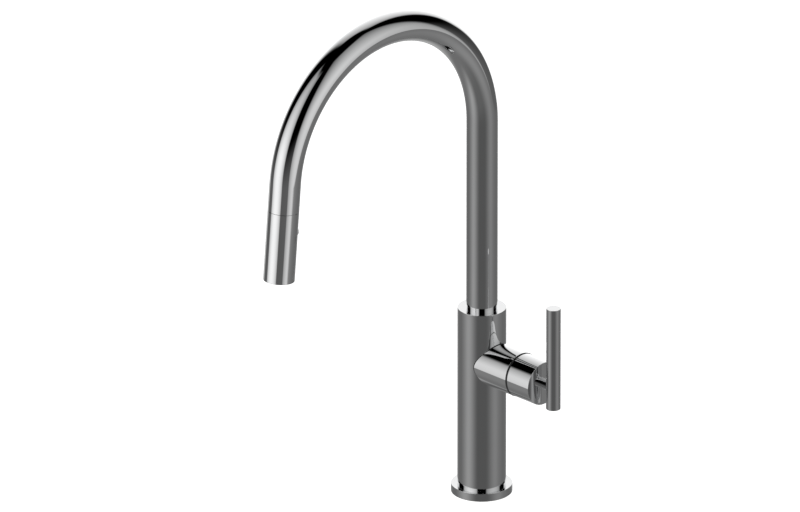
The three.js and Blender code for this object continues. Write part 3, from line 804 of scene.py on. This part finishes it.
# ---- pull-out hose -------------------------------------------------------------------------
def braid_material():
    """Fine crossed strands of light grey nylon, raised over darker gaps."""
    material, tree, shader, place = new_material("hose_braid")
    s = Shading(tree)
    split = tree.nodes.new("ShaderNodeSeparateXYZ")
    tree.links.new(place.outputs["Object"], split.inputs["Vector"])
    run = s.math("SUBTRACT", split.outputs["Z"], s.math("MULTIPLY", split.outputs["Y"], 0.9))
    across = s.math("SUBTRACT", split.outputs["X"], s.math("MULTIPLY", split.outputs["Y"], 0.25))
    turns = 2 * math.pi / (1.6 * MM)
    one = s.math("SINE", s.math("MULTIPLY", s.math("ADD", run, across), turns))
    other = s.math("SINE", s.math("MULTIPLY", s.math("SUBTRACT", run, across), turns))
    strand = s.math("MAXIMUM", one, other)
    colour = tree.nodes.new("ShaderNodeValToRGB")
    colour.color_ramp.elements[0].color = (0.09, 0.09, 0.095, 1)
    colour.color_ramp.elements[1].color = (0.42, 0.43, 0.45, 1)
    tree.links.new(strand, colour.inputs["Fac"])
    tree.links.new(colour.outputs["Color"], shader.inputs["Base Color"])
    shader.inputs["Metallic"].default_value = 0.3
    shader.inputs["Roughness"].default_value = 0.45
    relief = tree.nodes.new("ShaderNodeBump")
    relief.inputs["Strength"].default_value = 0.6
    relief.inputs["Distance"].default_value = 0.15 * MM
    tree.links.new(strand, relief.inputs["Height"])
    tree.links.new(relief.outputs["Normal"], shader.inputs["Normal"])
    return material


def make_hose():
    braid = braid_material()
    low, high, split, foot = 108 * MM, 176 * MM, 181 * MM, -70 * MM
    upward = Vector((0, 0, 1))
    stations = [(Vector((-HOSE_SHIFT, 0, foot)), upward, HOSE_R, HOSE_BORE, 0.0)]
    steps = 24
    for i in range(steps + 1):
        t = i / steps
        x = -HOSE_SHIFT * (1 - t * t * (3 - 2 * t))
        slope = HOSE_SHIFT * 6 * t * (1 - t) / (high - low)
        middle = Vector((x, 0, low + (high - low) * t))
        stations.append((middle, Vector((slope, 0, 1)), HOSE_R, HOSE_BORE, 0.0))
    stations.append((Vector((0, 0, split - 0.3 * MM)), upward, HOSE_R, HOSE_BORE, 0.0))
    lower = swept("hose_below", stations, 48)
    place_piece(lower, "column", "hose", braid, "pull_hose_lower")

    # Just above the ferrule, where a gap opens as the wand is pulled out, the last length of hose is a piece of
    # its own that is attached to no body.
    end = ARC_SWEEP - 16.6 * MM / ARC_R
    meet = end - 0.14
    stations = [(Vector((0, 0, split)), upward, HOSE_R, HOSE_BORE, 0.0)]
    stations += hose_stations(0, meet, 96)
    upper = swept("hose_above", stations, 48)
    place_piece(upper, "spout", "hose", braid, "pull_hose_upper")
    pulled = swept("hose_pulled", hose_stations(meet, end, 32), 48)
    pulled.data.materials.clear()
    pulled.data.materials.append(braid)
    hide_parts("pull_hose_upper")
    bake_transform(pulled)


def hose_stations(start, end, steps):
    """Stations of the hose along the spout's bend, from one angle to another."""
    angles = [start + (end - start) * i / steps for i in range(steps + 1)]
    return [(*arc_station(angle, HOSE_R, HOSE_BORE), 0.0) for angle in angles]


# ---- outlet ------------------------------------------------------------------------------------
def make_outlet():
    wand_end = WAND_LENGTH
    plate_low = wand_end - 8.9 * MM
    face_end = wand_end - 0.9 * MM
    outline = Outline([
        (7.1 * MM, plate_low + 2.3 * MM), (12.3 * MM, plate_low + 2.3 * MM), (12.3 * MM, face_end),
        (7.1 * MM, face_end),
    ], 0.3 * MM)
    face = turned("spray_plate", outline, WAND, 192)
    nozzles, circle, nozzle_r, jet_r = 12, 9.8 * MM, 0.85 * MM, 0.35 * MM
    foot, tip, jet_low = plate_low + 1 * MM, wand_end - 0.6 * MM, wand_end - 2.0 * MM
    for i in range(nozzles):
        a = 2 * math.pi * (i + 0.5) / nozzles
        at = WAND @ Matrix.Translation((circle * math.cos(a), circle * math.sin(a), 0))
        drill(face, outline, WAND, at, 1.3 * MM, plate_low, wand_end + 1 * MM)
        nozzle = turned("nozzle_%02d" % (i + 1), Outline([
            (0, foot), (nozzle_r, foot), (nozzle_r, tip, 0.25 * MM), (jet_r, tip), (jet_r, jet_low, 0),
            (0, jet_low),
        ], 0.1 * MM), at, 32)
        place_piece(nozzle, "wand", "rubber", RUBBER)
    place_piece(face, "wand", "grey_plastic", GREY_PLASTIC, "spray_face")
    ring_piece("nozzle_base", 12.2 * MM, 7.1 * MM, plate_low, plate_low + 2 * MM, WAND, "wand", "rubber",
               "spray_nozzles")
    ring_piece("aerator_wall", 6.8 * MM, 5.4 * MM, plate_low, wand_end - 1.2 * MM, WAND, "wand",
               "dark_plastic", "aerator_ring")
    make_screen(wand_end)


def make_screen(wand_end):
    """The aerator's round mesh: crossed steel wires inside a thin rim."""
    bm = bmesh.new()
    level, radius, wire, spacing, sides = wand_end - 2.8 * MM, 4.9 * MM, 0.16 * MM, 1.05 * MM, 8
    for along_x in (True, False):
        for i in range(-4, 5):
            offset = i * spacing
            half = math.sqrt(radius ** 2 - offset ** 2)
            ends = [(-half, offset), (half, offset)] if along_x else [(offset, -half), (offset, half)]
            z = level + (wire if along_x else -wire) * 0.8
            rows = []
            for x, y in ends:
                row = []
                for k in range(sides):
                    a = 2 * math.pi * k / sides
                    du, dz = wire * math.cos(a), wire * math.sin(a)
                    row.append(bm.verts.new((x, y + du, z + dz) if along_x else (x + du, y, z + dz)))
                rows.append(row)
            for k in range(sides):
                m = (k + 1) % sides
                bm.faces.new((rows[0][k], rows[0][m], rows[1][m], rows[1][k]))
            bm.faces.new(rows[0])
            bm.faces.new(rows[1])
    piece = piece_from(bm, "screen_wires", WAND)
    place_piece(piece, "wand", "steel", STEEL, "aerator_screen")
    ring_piece("screen_rim", 5.0 * MM, 4.6 * MM, wand_end - 3.2 * MM, wand_end - 2.4 * MM, WAND, "wand",
               "steel", soften=0.1 * MM)


make_base()
make_body()
make_valve()
make_spout()
make_wand()
make_shank()
make_fixings()
make_hose()
make_outlet()


# ---- light, floor and camera -----------------------------------------------------------------
CAMERA_AZIMUTH = math.radians(45.76)
CAMERA_ELEVATION = math.radians(22.95)
PICTURE_WIDTH = 708.2 * MM  # what the 800-pixel picture spans at the middle of the faucet
LENS, SENSOR = 1080, 36  # millimetres: a very long lens, so that upright edges stay upright


def make_camera():
    sin_a, cos_a = math.sin(CAMERA_AZIMUTH), math.cos(CAMERA_AZIMUTH)
    sin_e, cos_e = math.sin(CAMERA_ELEVATION), math.cos(CAMERA_ELEVATION)
    right = Vector((cos_a, sin_a, 0))
    back = Vector((sin_a * cos_e, -cos_a * cos_e, sin_e))
    up = back.cross(right)
    target = right * -72.75 * MM + up * 208.1 * MM + back * 135 * MM
    distance = LENS / SENSOR * PICTURE_WIDTH
    data = bpy.data.cameras.new("camera")
    data.lens = LENS
    data.sensor_width = SENSOR
    data.clip_end = 100
    camera = bpy.data.objects.new("camera", data)
    turn = Matrix((right, up, back)).transposed()
    camera.matrix_world = Matrix.Translation(target + back * distance) @ turn.to_4x4()
    bpy.context.scene.collection.objects.link(camera)
    bpy.context.scene.camera = camera


HORIZON = -21.0  # degrees: where the reflected floor ends


def make_world():
    """A plain studio drawn by direction: a window behind, a soft panel to each side and a grey floor."""
    world = bpy.data.worlds.new("studio")
    bpy.context.scene.world = world
    world.use_nodes = True
    tree = world.node_tree
    s = Shading(tree)
    place = tree.nodes.new("ShaderNodeTexCoord").outputs["Generated"]
    right = (math.cos(CAMERA_AZIMUTH), math.sin(CAMERA_AZIMUTH), 0)
    front = (math.sin(CAMERA_AZIMUTH), -math.cos(CAMERA_AZIMUTH), 0)
    sideways = s.along(place, right)
    forward = s.along(place, front)
    # Azimuth is 0 towards the camera, back is 0 behind the faucet, and both grow to the right, in degrees.
    azimuth = s.math("DEGREES", s.math("ARCTAN2", sideways, forward))
    back = s.math("DEGREES", s.math("ARCTAN2", sideways, s.math("MULTIPLY", forward, -1.0)))
    elevation = s.math("DEGREES", s.math("ARCSINE", s.along(place, (0, 0, 1))))

    # Every light is brightest low down, fades evenly upwards and ends softly at its top edge.
    climb = s.math("MAXIMUM", s.math("SUBTRACT", elevation, 5), 0)
    fade = s.math("SUBTRACT", 1.0, s.math("MULTIPLY", climb, 0.011))
    height = s.math("MULTIPLY", fade, s.step(elevation, 70, 62))

    # The window behind: near the floor both of its sides lean to the left.
    left_edge = s.math("MULTIPLY_ADD", s.math("MINIMUM", s.math("SUBTRACT", elevation, 25), 0), 0.5, -35)
    right_edge = s.math("MULTIPLY_ADD", s.math("MINIMUM", s.math("SUBTRACT", elevation, 5), 0), 0.65, 40)
    window = s.total(
        "MULTIPLY",
        s.step(back, s.math("SUBTRACT", left_edge, 8), s.math("ADD", left_edge, 8)),
        s.step(back, s.math("ADD", right_edge, 5), s.math("SUBTRACT", right_edge, 5)),
        s.falloff(back, 3, 55), height, 1.2,
    )

    # Two panels alike, one to each side, the right one dimmer.
    sides = []
    for centre, strength in ((-60, 1.0), (60, 0.66)):
        edges = s.math("MULTIPLY", s.step(s.distance(azimuth, centre), 42, 34), strength)
        sides.append(s.total("MULTIPLY", edges, s.falloff(azimuth, centre, 50), height))

    # A faint glow low on the dark walls between them.
    glow = s.math("MULTIPLY", s.step(elevation, 15, -25), 0.12)
    walls = s.total("MAXIMUM", window, *sides, glow)

    # The floor: dark grey, lighter under the window and the panels, and one even grey right below.
    shade = s.total(
        "ADD", 0.12,
        s.math("MULTIPLY", s.step(s.distance(azimuth, 0), 80, 110), 0.05),
        s.math("MULTIPLY", s.bell(azimuth, -66, 50), 0.22),
        s.math("MULTIPLY", s.bell(azimuth, 66, 50), 0.13),
        s.math("MULTIPLY", s.bell(back, 0, 45), 0.26),
    )
    reach = s.step(elevation, -85, -45)
    lit = tree.nodes.new("ShaderNodeMix")
    tree.links.new(reach, lit.inputs["Factor"])
    lit.inputs["A"].default_value = 0.16
    tree.links.new(shade, lit.inputs["B"])
    floor = s.math("SUBTRACT", lit.outputs["Result"], s.math("MULTIPLY", s.step(elevation, -40, -22), 0.03))
    room = tree.nodes.new("ShaderNodeMix")
    tree.links.new(s.step(elevation, HORIZON - 0.7, HORIZON + 0.7), room.inputs["Factor"])
    tree.links.new(floor, room.inputs["A"])
    tree.links.new(walls, room.inputs["B"])

    # The camera itself sees plain white.
    seen = tree.nodes.new("ShaderNodeMix")
    tree.links.new(tree.nodes.new("ShaderNodeLightPath").outputs["Is Camera Ray"], seen.inputs["Factor"])
    tree.links.new(room.outputs["Result"], seen.inputs["A"])
    seen.inputs["B"].default_value = 1.0
    tree.links.new(seen.outputs["Result"], tree.nodes["Background"].inputs["Strength"])
    tree.nodes["Background"].inputs["Color"].default_value = (1, 1, 1, 1)


def make_floor():
    size = 4.0
    corners = [(-size, -size, 0), (size, -size, 0), (size, size, 0), (-size, size, 0)]
    floor = make_mesh("floor", corners, [[0, 1, 2, 3]])
    material, tree, shader, _ = new_material("floor")
    shader.inputs["Base Color"].default_value = (0.9, 0.9, 0.9, 1)
    shader.inputs["Emission Color"].default_value = (1, 1, 1, 1)
    shader.inputs["Emission Strength"].default_value = 1.0
    floor.data.materials.append(material)
    floor.location.z = -0.0002
    floor.visible_glossy = False


make_camera()
make_world()
make_floor()
bpy.context.scene.view_settings.view_transform = "Standard"

bpy.context.view_layer.update()
